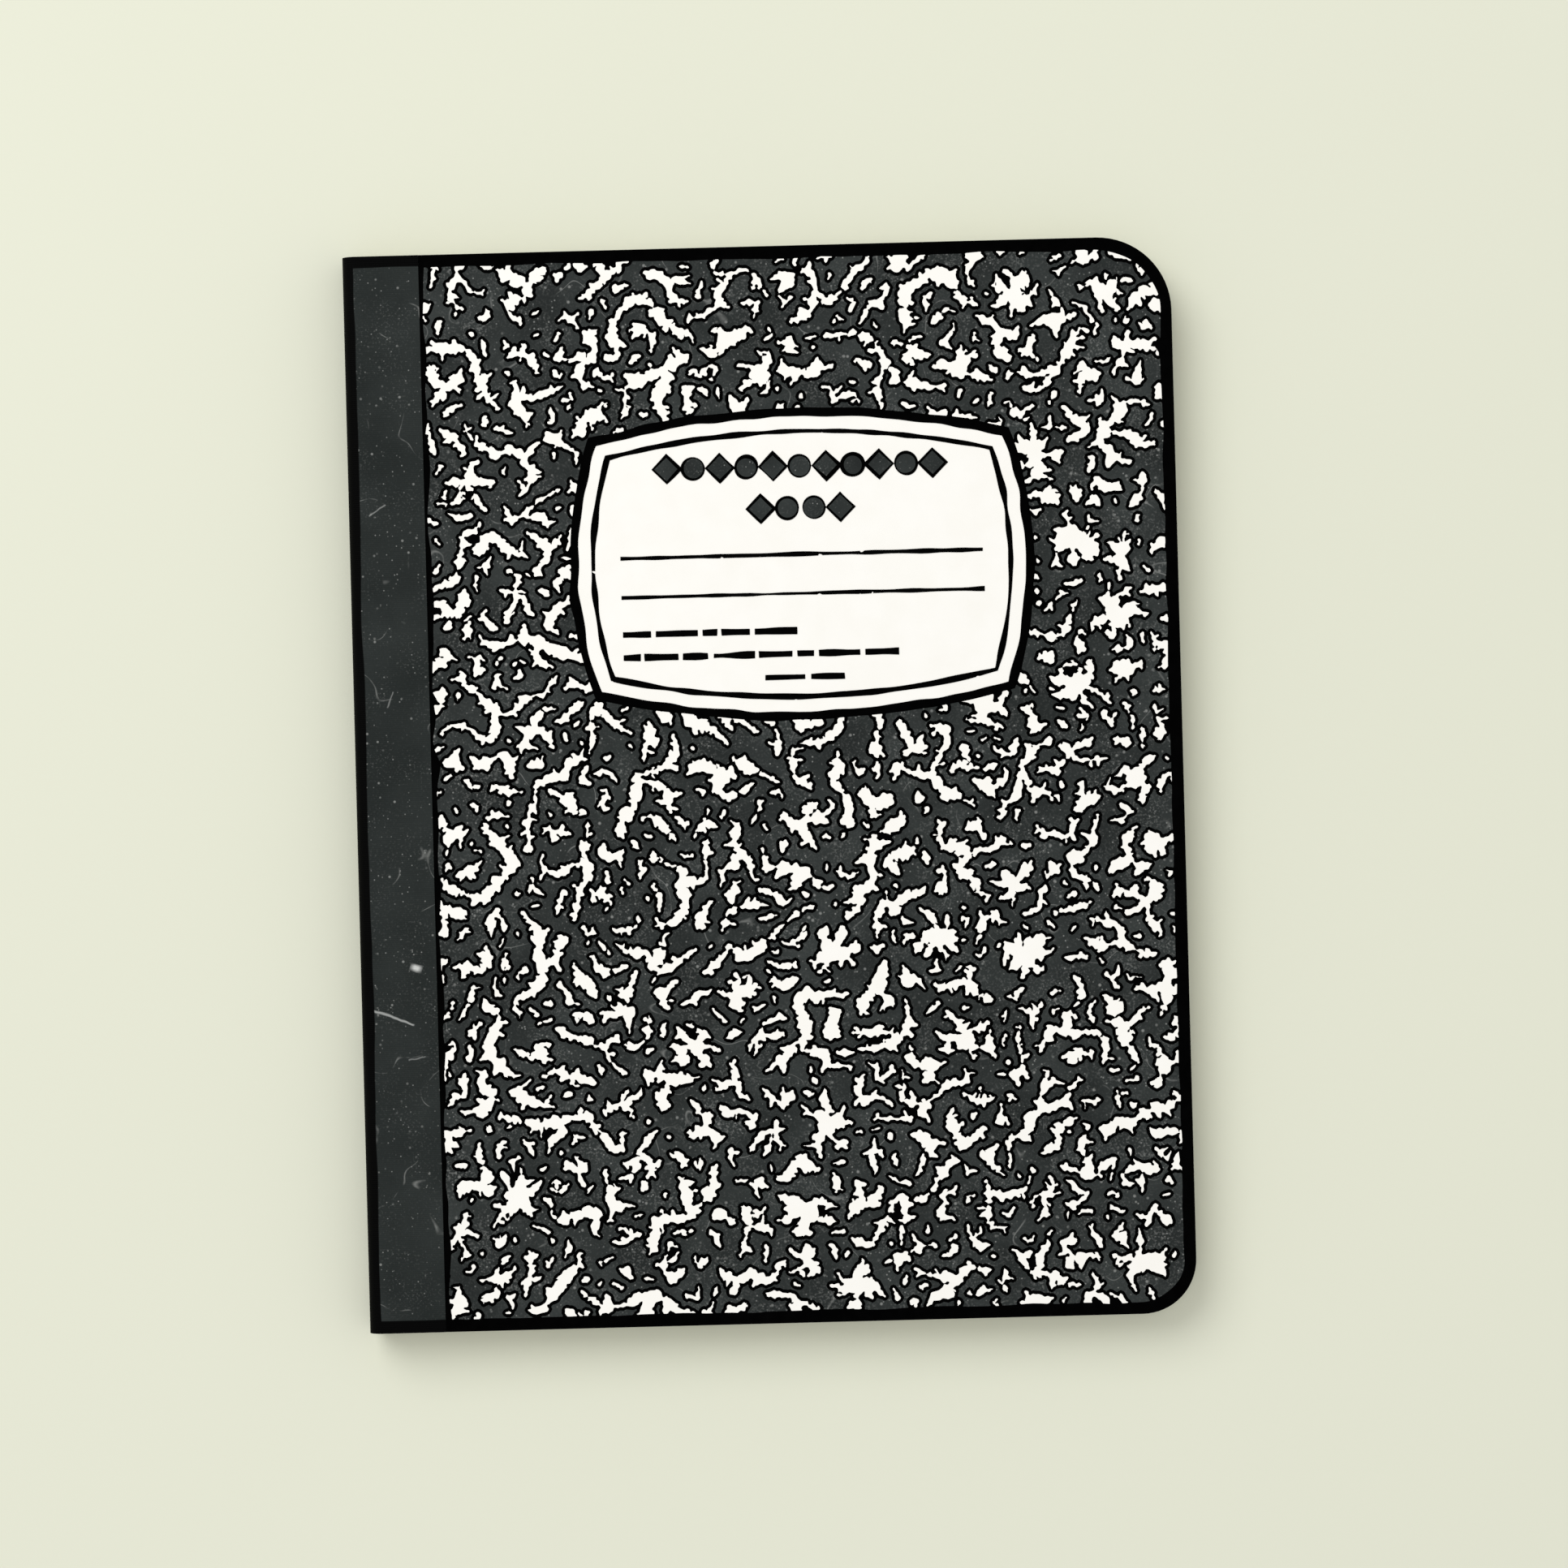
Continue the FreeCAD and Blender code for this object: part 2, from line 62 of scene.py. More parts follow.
# Sizes read from the frame
TAPE_LOW, TAPE_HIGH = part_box("spine_tape")
BLOCK_LOW, BLOCK_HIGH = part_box("page_block")
INK_LOW, INK_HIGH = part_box("front_ink")
BOARD_LOW, BOARD_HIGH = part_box("front_cover")
LABEL_LOW, LABEL_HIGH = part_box("label")
TAPE_THICKNESS = BLOCK_LOW.x - TAPE_LOW.x
SPINE_X = TAPE_LOW.x
FORE_EDGE_X = BOARD_HIGH.x
TAIL_Y, HEAD_Y = BOARD_LOW.y, BOARD_HIGH.y
HINGE_X = BOARD_LOW.x
TAPE_EDGE_X = INK_LOW.x
SPINE_RADIUS = HINGE_X - SPINE_X
TOP_Z = TAPE_HIGH.z
PAPER_BEND = SPINE_RADIUS - TAPE_THICKNESS - (BOARD_HIGH.z - BOARD_LOW.z)  # of the block's back

HEAD_CORNER = 17 * MM
TAIL_CORNER = 12.5 * MM
HINGE_BEND = 0.8 * MM  # of the tape, to either side of the hinge
TAPE_POINTS = (9, 9, 14, 4)  # of its section: over the cover, at the hinge, round the curve and on the spine
TAPE_ROWS = 62
WEAVE_PITCH = 0.45 * MM
LEAVES = 100
LEAF_GROOVE = 0.05 * MM  # between two leaves at the edge
LEAF_SHIFT, LEAF_SPREAD = 0.01 * MM, 0.03 * MM  # of a leaf behind the block's edge, and how that varies
THREAD_RADIUS = 0.3 * MM
THREAD_ROOM = 0.35 * MM  # radius of the hole that it lies in

# Printed lines, as the drawing has them. The black along the cover's edge, beside the tape and round the
# label is painted shade.
EDGE_SHADE = 2.8 * MM
SEAM_SHADE = 1.2 * MM
RIM = 0.81 * MM
LABEL_SHADE_RIM = 0.5  # mm, of black beyond the label
BORDER = 1.5  # mm
LINE_LAP = 0.15  # mm, of the border past the label's edge
RULE_INSET, RULE_WIDTH = 4.3, 1.2  # mm
LONG_BAR = 80  # mm, of a writing line
BAR_GROWTH = 0.08  # mm, of ink beyond a line's edges
ORNAMENT_LINE = 0.6  # mm
SHEET_STEP = 0.03 * MM  # from one printed sheet to the next

# The pen that draws the label, in millimetres
PEN_GRID = 0.1
PEN_SWAY_WAVES, PEN_BREAK_WAVES = (7.0, 30.0), (1.5, 8.0)
PEN_BREAK, BREAK_RARITY = 1.2, 2.5  # depth of a break in a line, and the noise above which it starts
BORDER_SWAY, RULE_SWAY, BAR_SWAY, ORNAMENT_SWAY = 0.14, 0.13, 0.08, 0.07
LEAST_MARK = 0.2  # mm2, of ink or of a gap in it

# Ruling of the pages
HEADER = 30 * MM
FOOTER = 12 * MM
RULE_PITCH = 7.1 * MM
MARGIN = 32 * MM
ROW_LINE, MARGIN_LINE = 0.14 * MM, 0.18 * MM  # half their widths
LINE_BLUR = 0.1 * MM

# Marbling, in millimetres, with turns in radians
PITCH = 0.2  # of the grid that the marbling is drawn on
REACH = 6.0  # up to this distance the field tells how far the nearest shape is
GAP = 1.4  # left between two shapes
ARM_GAP, TIP_GAP = 1.5, 1.4  # left between two arms of a shape, and from an arm to a tip
MOST_BEND = 1.5  # of an arm, to either side of the way that it starts
STEP = (1.0, 2.2)  # of an arm from one place to the next
FIRST_SWING = 0.25  # how an arm's first turn varies
SWING_KEPT, SWING_ADDED = 0.35, 0.5  # share of the last turn, and how the new one varies
LATEST = 3  # places of an arm that its next one may be near
STEP_RADIUS = (0.35, 1.9)  # share of the arm's radius
THIN_END = 0.4  # share of the radius at an arm's end
WAYS_ROUND = (0, 0.5, -0.5, 1.0, -1.0)  # that an arm turns by, to keep clear
TIP_SHARE = 0.6  # of the steps that have a tip beside them
TIP_LEAN, TIP_REACH = (0.9, 1.8), (0.8, 2.6)
TIP_ROOT = 1.05  # a tip's radius at its root, as a share of the arm's
TIP_ROOM = 0.7  # share of the gap that a tip keeps clear
END_LEAN = 0.4  # how the tip at an arm's end varies from its way
ROOT_ROOM = 2.6  # round a shape's middle, where its arms may be near each other
OVERRUN = 6.0  # by this much shapes start outside the sheet
LABEL_LAP = 0.7  # by this much the sheets run under the label
LEAST_SHAPE = 0.5  # mm2, of white
LEAST_HOLE = 4.0  # mm2, in a white shape
LEAST_LINE, LEAST_LINE_HOLE = 0.7, 0.9  # mm2, of black
SPECK_FILL = 0.3  # the field's distance where a speck was
LABEL_BULGE = (5.0, 5.8)  # of its short sides and its long ones, beyond the corners
FRONT_SEED, BACK_SEED, LABEL_SEED, PAGES_SEED = 9, 23, 31, 11

# Shapes that start from the gaps in the printed sheet
SHAPE_SHIFT = 3.0  # most that a shape's middle is moved
STAR_SHARE = 0.22
STAR_ARM, STAR_HUB = 0.85, (1.9, 2.6)  # radii
STAR_REACH = (2, 5)
STAR_LEAN, BRANCH_LEAN, SCATTER_LEAN = 0.2, 0.3, 0.4  # how an arm's way varies
BRANCH_ARMS = 3
BRANCH_ARM, BRANCH_HUB = (0.7, 1.05), (0.8, 1.7)  # radii
BRANCH_REACH = (0.9, 2.5)  # share of the gap's own
FAR_SHARE, TIP_TURN = 0.5, 0.6  # share of a gap's reach that makes a tip, and the turn between two tips

# Shapes between them: how many are tried, their counts of arms, lengths of arms and radii
SCATTERS = (
    (900, (3, 4, 5), (3.0, 8.0), (0.65, 1.0)),
    (1500, (2, 3, 3), (1.0, 3.0), (0.6, 0.9)),
    (16000, (1, 2, 3), (0.1, 0.4), (0.4, 0.65)),
)

# Outlines: the waves of their teeth, humps and sway are between two lengths
TEETH_WAVES, HUMP_WAVES, SWAY_WAVES = (1.1, 2.2), (2.5, 6.0), (9.0, 40.0)
ROUGHNESS = 0.16  # of teeth and humps
MOST_ROUGH = 2  # times the roughness
THINNING = 0.2  # by this much a shape is smaller than its strokes
SWAY = 0.12  # of the lines along the edges
SEAM_SWAY = 2.5  # times the sway, of the line beside the tape
EDGE_CLEARANCE = 0.02  # from the sheets to the cover's edge

# Picture
FLOOR_SIZE = 12.0
FLOOR_Z = -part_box("back_cover")[1].z - 0.05 * MM  # just under the back cover when it is opened flat
CAMERA_HEIGHT = 998.6 * MM
LENS, SENSOR = 100, 36  # mm, of the camera's own
VIEW_TURN = math.radians(-1.5)
MIDDLE_RIGHT, MIDDLE_UP = 3.35 * MM, 0.19 * MM  # from the book's middle to the picture's
KEY_PLACE, KEY_SIZE, KEY_WATTS = (-0.9, 1.1, 1.6), 1.6, 25
SKY_STRENGTH = 0.76


# Meshes


def new_piece(name, points, faces, material, body, node=None):
    """A mesh piece that rides on a body, and stands for a node where one is named."""
    mesh = bpy.data.meshes.new(name)
    mesh.from_pydata([tuple(point) for point in points], [], faces)
    mesh.validate()
    mesh.update()
    mesh.materials.append(material)
    piece = bpy.data.objects.new(name, mesh)
    bpy.context.scene.collection.objects.link(piece)
    if body:
        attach(piece, body)
    if node:
        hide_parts(node)
    return piece


def ring_walls(count, rings):
    """The faces between rings of as many points each."""
    walls = []
    for first in range(0, (rings - 1) * count, count):
        for i in range(count):
            j = (i + 1) % count
            walls.append((first + i, first + j, first + count + j, first + count + i))
    return walls


def corner_arc(middle, radius, start, end, steps=16):
    angles = np.linspace(start, end, steps + 1)
    return [(middle[0] + radius * math.cos(a), middle[1] + radius * math.sin(a)) for a in angles]


def leaf_outline(spine_side, inset=0.0):
    """The outline that leaves, boards and prints share, anticlockwise from the tail of its spine side."""
    right = FORE_EDGE_X - inset
    low, high = TAIL_Y + inset, HEAD_Y - inset
    tail, head = TAIL_CORNER - inset, HEAD_CORNER - inset
    outline = [(spine_side, low)]
    outline += corner_arc((right - tail, low + tail), tail, -math.pi / 2, 0)
    outline += corner_arc((right - head, high - head), head, 0, math.pi / 2)
    return outline + [(spine_side, high)]


def closed_slab(outline, low, high):
    """Points and faces of a flat slab."""
    count = len(outline)
    points = [(x, y, low) for x, y in outline] + [(x, y, high) for x, y in outline]
    return points, [tuple(range(count))[::-1], tuple(range(count, 2 * count))] + ring_walls(count, 2)


# Marbling


def band_noise(chance, shape, finest, coarsest, pitch=PITCH):
    """Noise whose waves are between two lengths, with a spread of one."""
    waves = np.fft.rfft2(chance.standard_normal(shape))
    rate = np.hypot(np.fft.fftfreq(shape[0], pitch)[:, None], np.fft.rfftfreq(shape[1], pitch)[None, :])
    keep = np.exp(-((rate * finest) ** 4)) * (1 - np.exp(-((rate * coarsest) ** 4)))
    noise = np.fft.irfft2(waves * keep, shape)
    return noise / noise.std()


class Marbling:
    """Branching shapes on a grid, whose field holds the distance to the nearest shape."""

    def __init__(self, low, high, seed):
        self.chance = np.random.default_rng(seed)
        columns, rows = [int((b - a + 2 * OVERRUN) / PITCH) + 1 for a, b in zip(low, high)]
        self.x = low[0] - OVERRUN + PITCH * np.arange(columns)
        self.y = low[1] - OVERRUN + PITCH * np.arange(rows)
        self.field = np.full((rows, columns), REACH)

    def room(self, x, y):
        row = round((y - self.y[0]) / PITCH)
        column = round((x - self.x[0]) / PITCH)
        if 0 <= row < len(self.y) and 0 <= column < len(self.x):
            return self.field[row, column]
        return -1.0

    def lay(self, strokes):
        """Add strokes, each from a round end (x, y, radius) to another."""
        for (x0, y0, r0), (x1, y1, r1) in strokes:
            pad = REACH + max(r0, r1)
            left, right = np.searchsorted(self.x, (min(x0, x1) - pad, max(x0, x1) + pad))
            low, high = np.searchsorted(self.y, (min(y0, y1) - pad, max(y0, y1) + pad))
            along_x = self.x[left:right][None, :] - x0
            along_y = self.y[low:high][:, None] - y0
            run = max((x1 - x0) ** 2 + (y1 - y0) ** 2, 1e-9)
            share = np.clip((along_x * (x1 - x0) + along_y * (y1 - y0)) / run, 0, 1)
            away = np.hypot(along_x - share * (x1 - x0), along_y - share * (y1 - y0))
            window = self.field[low:high, left:right]
            np.minimum(window, away - (r0 + share * (r1 - r0)), out=window)

    def arm(self, x, y, heading, length, radius, others):
        """Walk an arm that turns away from what is near, and give its strokes."""
        chance = self.chance
        strokes = []
        own = [(x, y, radius)]
        start = heading
        swing = chance.normal(0, FIRST_SWING)
        gone = 0.0
        while gone < length:
            step = chance.uniform(*STEP)
            swing = SWING_KEPT * swing + chance.normal(0, SWING_ADDED)
            taper = THIN_END + (1 - THIN_END) * min(1, 2 * (1 - gone / length))
            next_radius = radius * chance.uniform(*STEP_RADIUS) * taper
            for turn in WAYS_ROUND:
                way = min(max(heading + swing + turn, start - MOST_BEND), start + MOST_BEND)
                next_x, next_y = x + step * math.cos(way), y + step * math.sin(way)
                if self.room(next_x, next_y) > GAP + next_radius and all(
                    math.hypot(next_x - a, next_y - b) > r + next_radius + ARM_GAP
                    for a, b, r in own[:-LATEST] + others
                ):
                    break
            else:
                break
            strokes.append(((x, y, own[-1][2]), (next_x, next_y, next_radius)))
            own.append((next_x, next_y, next_radius))
            if chance.random() < TIP_SHARE:
                lean = way + chance.choice((-1, 1)) * chance.uniform(*TIP_LEAN)
                strokes += self.tip(next_x, next_y, next_radius, lean, own[:-LATEST] + others)
            x, y, heading = next_x, next_y, way
            gone += step
        strokes += self.tip(x, y, own[-1][2], heading + chance.normal(0, END_LEAN), own[:-LATEST] + others)
        return strokes, own

    def tip(self, x, y, radius, heading, near):
        """A pointed stroke, if it keeps clear of what is near."""
        reach = radius + self.chance.uniform(*TIP_REACH)
        end_x, end_y = x + reach * math.cos(heading), y + reach * math.sin(heading)
        clear = all(math.hypot(end_x - a, end_y - b) > r + TIP_GAP for a, b, r in near)
        if clear and self.room(end_x, end_y) > TIP_ROOM * GAP:
            return [((x, y, TIP_ROOT * radius), (end_x, end_y, 0.0))]
        return []

    def grow(self, x, y, arms, radius, hub=0.0):
        """Grow a shape with arms of (heading, length), if there is room for it."""
        middle = max(hub, radius)
        if self.room(x, y) < GAP + middle:
            return
        strokes = [((x, y, middle), (x, y, middle))]
        others = []
        for heading, length in arms:
            start = middle - radius
            root = (x + start * math.cos(heading), y + start * math.sin(heading))
            more, own = self.arm(*root, heading, length, radius, others)
            strokes += more
            others += [end for end in own if math.hypot(end[0] - x, end[1] - y) > middle + ROOT_ROOM]
        self.lay(strokes)

    def scatter(self, tries, counts, lengths, radii):
        """Try to grow shapes anywhere, with a few arms each."""
        chance = self.chance
        for _ in range(tries):
            x = chance.uniform(self.x[0], self.x[-1])
            y = chance.uniform(self.y[0], self.y[-1])
            count = chance.choice(counts)
            turn = chance.uniform(0, math.tau)
            arms = [
                (turn + i * math.tau / count + chance.normal(0, SCATTER_LEAN), chance.uniform(*lengths))
                for i in range(count)
            ]
            self.grow(x, y, arms, chance.uniform(*radii))


def spread(field, radius):
    """The least of the field within a distance of each point."""
    reach = math.ceil(radius / PITCH)
    padded = np.pad(field, reach, mode="edge")
    least = field.copy()
    rows, columns = field.shape
    for i in range(-reach, reach + 1):
        for j in range(-reach, reach + 1):
            if math.hypot(i, j) * PITCH <= radius:
                moved = padded[reach + i:reach + i + rows, reach + j:reach + j + columns]
                np.minimum(least, moved, out=least)
    return least


# A grid cell's sides are 0 below, 1 right, 2 above and 3 left. Its corners count 1, 2, 4 and 8,
# anticlockwise from the one below left, and a line has the inside on its left.
CELL_LINES = {
    1: [(0, 3)], 2: [(1, 0)], 3: [(1, 3)], 4: [(2, 1)], 5: [(0, 3), (2, 1)], 6: [(2, 0)], 7: [(2, 3)],
    8: [(3, 2)], 9: [(0, 2)], 10: [(1, 0), (3, 2)], 11: [(1, 2)], 12: [(3, 1)], 13: [(0, 1)], 14: [(3, 0)],
}


def contours(field, x, y, pitch):
    """Closed lines round where the field is negative, as arrays of points."""
    field = np.pad(field, 1, constant_values=1.0)
    x = np.concatenate(([x[0] - pitch], x, [x[-1] + pitch]))
    y = np.concatenate(([y[0] - pitch], y, [y[-1] + pitch]))
    rows, columns = field.shape
    inside = field < 0
    case = inside[:-1, :-1] + 2 * inside[:-1, 1:] + 4 * inside[1:, 1:] + 8 * inside[1:, :-1]
    total = rows * columns
    after = np.full(2 * total, -1)
    for kind, lines in CELL_LINES.items():
        row, column = np.nonzero(case == kind)
        low_left = row * columns + column
        sides = (low_left, total + low_left + 1, low_left + columns, total + low_left)
        for start, end in lines:
            after[sides[start]] = sides[end]
    ids = np.nonzero(after >= 0)[0]
    across = ids < total
    first = np.where(across, ids, ids - total)
    second = np.where(across, first + 1, first + columns)
    flat = field.ravel()
    share = flat[first] / (flat[first] - flat[second])
    places = np.empty((2 * total, 2), np.float32)
    places[ids, 0] = x[first % columns] + np.where(across, share * pitch, 0)
    places[ids, 1] = y[first // columns] + np.where(across, 0, share * pitch)
    after = after.tolist()
    loops = []
    for start in ids.tolist():
        loop = []
        at = start
        while after[at] >= 0:
            loop.append(at)
            following = after[at]
            after[at] = -1
            at = following
        if len(loop) > 2:
            loops.append(places[loop].astype(float))
    return loops


def cross(a, b):
    return a[..., 0] * b[..., 1] - a[..., 1] * b[..., 0]


def area(loop):
    return cross(loop, np.roll(loop, -1, axis=0)).sum() / 2


def thinned(loop, slack=0.02):
    """The loop without the points that lie nearly straight between their neighbours."""
    for turn in range(4):
        before, following = np.roll(loop, 1, axis=0), np.roll(loop, -1, axis=0)
        chord = following - before
        away = np.abs(cross(chord, loop - before)) / np.maximum(np.hypot(*chord.T), 1e-6)
        keep = away > slack
        keep[turn % 2::2] = True
        if keep.sum() > 4:
            loop = loop[keep]
    return loop


def holds(loop, point):
    """Whether a loop goes round a point."""
    ahead = np.roll(loop, -1, axis=0)
    spans = (loop[:, 1] > point[1]) != (ahead[:, 1] > point[1])
    rise = np.where(spans, ahead[:, 1] - loop[:, 1], 1.0)
    meets = loop[:, 0] + (point[1] - loop[:, 1]) / rise * (ahead[:, 0] - loop[:, 0])
    return np.count_nonzero(spans & (meets > point[0])) % 2 == 1


def flat_shapes(field, x, y, least_shape=LEAST_LINE, least_hole=LEAST_LINE_HOLE, pitch=PITCH):
    """Shapes where the field is negative: lists of an outline and its holes, without the smallest."""
    loops = [(area(loop), thinned(loop)) for loop in contours(field, x, y, pitch)]
    shapes = [[loop] for size, loop in loops if size > least_shape]
    for size, hole in loops:
        if size < -least_hole:
            homes = [shape for shape in shapes if holds(shape[0], hole[0])]
            if homes:
                min(homes, key=lambda shape: abs(area(shape[0]))).append(hole)
    return shapes


def without_specks(field, x, y):
    """The field with its smallest shapes and holes filled in."""
    for loop in contours(field, x, y, PITCH):
        size = area(loop)
        if -LEAST_HOLE < size < LEAST_SHAPE:
            left, right = np.searchsorted(x, (loop[:, 0].min() - PITCH, loop[:, 0].max() + PITCH))
            low, high = np.searchsorted(y, (loop[:, 1].min() - PITCH, loop[:, 1].max() + PITCH))
            window = field[low:high, left:right]
            if size > 0:
                np.maximum(window, SPECK_FILL, out=window)
            else:
                np.minimum(window, -SPECK_FILL, out=window)
    return field


def flat_sheet(name, shapes, z, up, material, body):
    """Thin printed shapes at one height, facing up or down."""
    points, faces = [], []
    for shape in shapes:
        start = len(points)
        flat = np.concatenate(shape)
        points += [(px * MM, py * MM, z) for px, py in flat]
        for triangle in tessellate_polygon([[Vector((*place, 0)) for place in loop] for loop in shape]):
            a, b, c = flat[list(triangle)]
            if abs(cross(b - a, c - a)) > 1e-7:
                order = triangle if (cross(b - a, c - a) > 0) == up else triangle[::-1]
                faces.append([start + i for i in order])
    return new_piece(name, points, faces, material, body)


def loops_in(node, anticlockwise):
    """The outlines of a node's top faces, or their holes, read from the frame, in millimetres."""
    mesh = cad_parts[node].data
    sides = set()
    for face in mesh.polygons:
        if face.normal.z > 0.9:
            ring = [tuple(round(v / MM, 2) for v in mesh.vertices[i].co.xy) for i in face.vertices]
            sides.update(zip(ring, ring[1:] + ring[:1]))
    after = {a: b for a, b in sides if (b, a) not in sides}
    loops = []
    for start in sorted(after):
        loop = []
        at = start
        while at in after:
            loop.append(at)
            at = after.pop(at)
        if loop and (area(np.array(loop)) > 0) == anticlockwise:
            loops.append(np.array(loop))
    return loops


def gaps_in(node):
    """Middle and tips of each gap in a printed sheet."""
    found = []
    for loop in loops_in(node, False):
        ahead = np.roll(loop, -1, axis=0)
        middle = ((loop + ahead) * cross(loop, ahead)[:, None]).sum(0) / (6 * area(loop))
        away = loop - middle
        reach = np.hypot(*away.T)
        heading = np.arctan2(away[:, 1], away[:, 0])
        tips = []
        for i in np.argsort(-reach):
            turns = [abs(math.remainder(heading[i] - tip[0], math.tau)) for tip in tips]
            if reach[i] > FAR_SHARE * reach.max() and all(turn > TIP_TURN for turn in turns):
                tips.append((heading[i], reach[i]))
        found.append((middle, tips))
    return found


def from_label(x, y):
    """How far places are from the label's outline, which four wide arcs make. Inside it is negative."""
    middle, half = (LABEL_LOW + LABEL_HIGH) / 2 / MM, (LABEL_HIGH - LABEL_LOW) / 2 / MM
    side_bulge, end_bulge = LABEL_BULGE
    across, along = np.abs(x - middle.x), np.abs(y - middle.y)
    side_radius = ((half.y - end_bulge) ** 2 + side_bulge ** 2) / (2 * side_bulge)
    end_radius = ((half.x - side_bulge) ** 2 + end_bulge ** 2) / (2 * end_bulge)
    from_side = np.hypot(across - half.x + side_radius, along) - side_radius
    from_end = np.hypot(across, along - half.y + end_radius) - end_radius
    return np.maximum(from_side, from_end)


def from_edge(x, y):
    """How far places are past the cover's outline. Inside it is negative."""
    corner = np.where(y > 0, HEAD_CORNER, TAIL_CORNER) / MM
    out_x = x - FORE_EDGE_X / MM + corner
    out_y = np.abs(y) - HEAD_Y / MM + corner
    outside = np.hypot(np.maximum(out_x, 0), np.maximum(out_y, 0))
    return np.minimum(np.maximum(out_x, out_y), 0) + outside - corner


def grow_from_gaps(marbling, node):
    """Grow stars and branching shapes from the gaps in a printed sheet."""
    chance = marbling.chance
    for (x, y), tips in gaps_in(node):
        x += chance.uniform(-SHAPE_SHIFT, SHAPE_SHIFT)
        y += chance.uniform(-SHAPE_SHIFT, SHAPE_SHIFT)
        if chance.random() < STAR_SHARE:
            between = math.pi / len(tips)
            arms = [
                (heading + more + chance.normal(0, STAR_LEAN), chance.uniform(*STAR_REACH))
                for heading, _ in tips
                for more in (0, between)
            ]
            marbling.grow(x, y, arms, STAR_ARM, chance.uniform(*STAR_HUB))
        else:
            arms = [
                (heading + chance.normal(0, BRANCH_LEAN), reach * chance.uniform(*BRANCH_REACH))
                for heading, reach in tips[:BRANCH_ARMS]
            ]
            marbling.grow(x, y, arms, chance.uniform(*BRANCH_ARM), chance.uniform(*BRANCH_HUB))


def marbled_fields(node, seed):
    """The fields of the bare shapes and of the black lines on one printed sheet: printed rims round the
    shapes, and painted shade along the cover's edge, beside the tape and round the label.
    """
    low = np.array((TAPE_EDGE_X, TAIL_Y)) / MM
    high = np.array((FORE_EDGE_X, HEAD_Y)) / MM
    marbling = Marbling(low, high, seed)
    grow_from_gaps(marbling, node)
    for scattered in SCATTERS:
        marbling.scatter(*scattered)
    field, x, y, chance = marbling.field, marbling.x, marbling.y, marbling.chance
    teeth = np.clip(band_noise(chance, field.shape, *TEETH_WAVES), -MOST_ROUGH, MOST_ROUGH)
    humps = np.clip(band_noise(chance, field.shape, *HUMP_WAVES), -MOST_ROUGH, MOST_ROUGH)
    sway = SWAY * band_noise(chance, field.shape, *SWAY_WAVES)

    place_x, place_y = np.meshgrid(x, y)
    edge = from_edge(place_x, place_y)
    seam = low[0] - place_x
    beside = from_label(place_x, place_y) if node == "front_ink" else np.full(field.shape, REACH)
    # Painted shade: black lines along the cover's edge, beside the tape's edge and round the label.
    edge_shade = edge + EDGE_SHADE / MM + sway
    seam_shade = seam + SEAM_SHADE / MM + SEAM_SWAY * sway
    drawn = np.maximum.reduce([edge_shade, seam_shade, LABEL_SHADE_RIM + sway - beside])
    bare = np.maximum(field + ROUGHNESS * humps - ROUGHNESS * teeth + THINNING, drawn)
    bare = without_specks(bare, x, y)
    # The black sheet: printed rims round the bare shapes, and the painted shade lines.
    lines = np.minimum(spread(bare, RIM / MM), -drawn)
    sheet_edge = [edge + EDGE_CLEARANCE, seam + EDGE_CLEARANCE, -LABEL_LAP - beside]
    return bare, np.maximum.reduce([lines, *sheet_edge]), x, y


def print_label(black):
    """The label's border, rule, lines and strokes, drawn as if with a pen."""
    x = np.arange(LABEL_LOW.x / MM - 1, LABEL_HIGH.x / MM + 1, PEN_GRID)
    y = np.arange(LABEL_LOW.y / MM - 1, LABEL_HIGH.y / MM + 1, PEN_GRID)
    place_x, place_y = np.meshgrid(x, y)
    chance = np.random.default_rng(LABEL_SEED)
    sway = band_noise(chance, place_x.shape, *PEN_SWAY_WAVES, PEN_GRID)
    rough = band_noise(chance, place_x.shape, *PEN_BREAK_WAVES, PEN_GRID)
    breaks = PEN_BREAK * np.maximum(rough - BREAK_RARITY, 0)
    away = from_label(place_x, place_y)
    border = np.maximum(away - LINE_LAP, -(away + BORDER + BORDER_SWAY * sway))
    rule = np.abs(away + RULE_INSET + RULE_WIDTH / 2) - RULE_WIDTH / 2 + RULE_SWAY * sway + breaks
    field = np.minimum(border, rule)
    for loop in loops_in("label_print", True):
        low, high = loop.min(0), loop.max(0)
        if high[1] - low[1] < 2 * BORDER:
            half = (high - low) / 2
            beside_x = np.abs(place_x - (low[0] + high[0]) / 2) - half[0]
            beside_y = np.abs(place_y - (low[1] + high[1]) / 2) - half[1]
            bar = np.maximum(beside_x, beside_y) + BAR_SWAY * sway - BAR_GROWTH
            field = np.minimum(field, bar + breaks if high[0] - low[0] > 0.5 * LONG_BAR else bar)
    for loop in loops_in("label_ornament", True):
        middle = (loop.min(0) + loop.max(0)) / 2
        half = (loop.max(0) - loop.min(0)) / 2
        across, along = np.abs(place_x - middle[0]), np.abs(place_y - middle[1])
        if len(loop) > 8:  # a disc, and else a lozenge
            shape = np.hypot(across, along) - half[0]
        else:
            shape = (across / half[0] + along / half[1] - 1) * half[0] * half[1] / math.hypot(*half)
        field = np.minimum(field, np.abs(shape) - ORNAMENT_LINE / 2 + ORNAMENT_SWAY * sway)
    shapes = flat_shapes(field, x, y, LEAST_MARK, LEAST_MARK, PEN_GRID)
    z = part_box("label_ornament")[1].z + SHEET_STEP
    sheet = flat_sheet("label_lines", shapes, z, True, black, "front_cover")
    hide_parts("label_print")


# Materials

REST = "rest_place"

